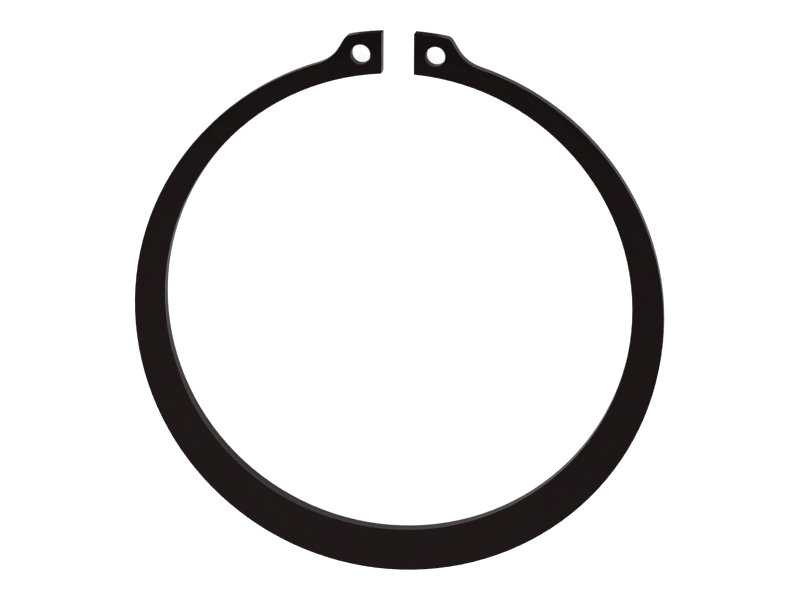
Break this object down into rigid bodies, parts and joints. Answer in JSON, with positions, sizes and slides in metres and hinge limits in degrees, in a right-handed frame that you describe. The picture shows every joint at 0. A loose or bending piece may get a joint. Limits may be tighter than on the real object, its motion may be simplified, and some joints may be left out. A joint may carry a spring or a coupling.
{
  "type": "external retaining ring",
  "caption": "Flat open ring of black spring steel for a shaft groove, with a beam that thins from its back towards a pierced plier lug on each side of the gap.",
  "frame": {"origin": "on the ring's axis, in the plane of its underside", "axes": "+Z along the axis, out of the upper face; +Y from the axis towards the middle of the gap; the ring lies flat"},
  "size_m": [0.1072, 0.1114, 0.003],
  "materials": {
    "blackened_spring_steel": "satin"
  },
  "bodies": {
    "root": {"retaining_ring": "blackened_spring_steel"}
  },
  "joints": []
}
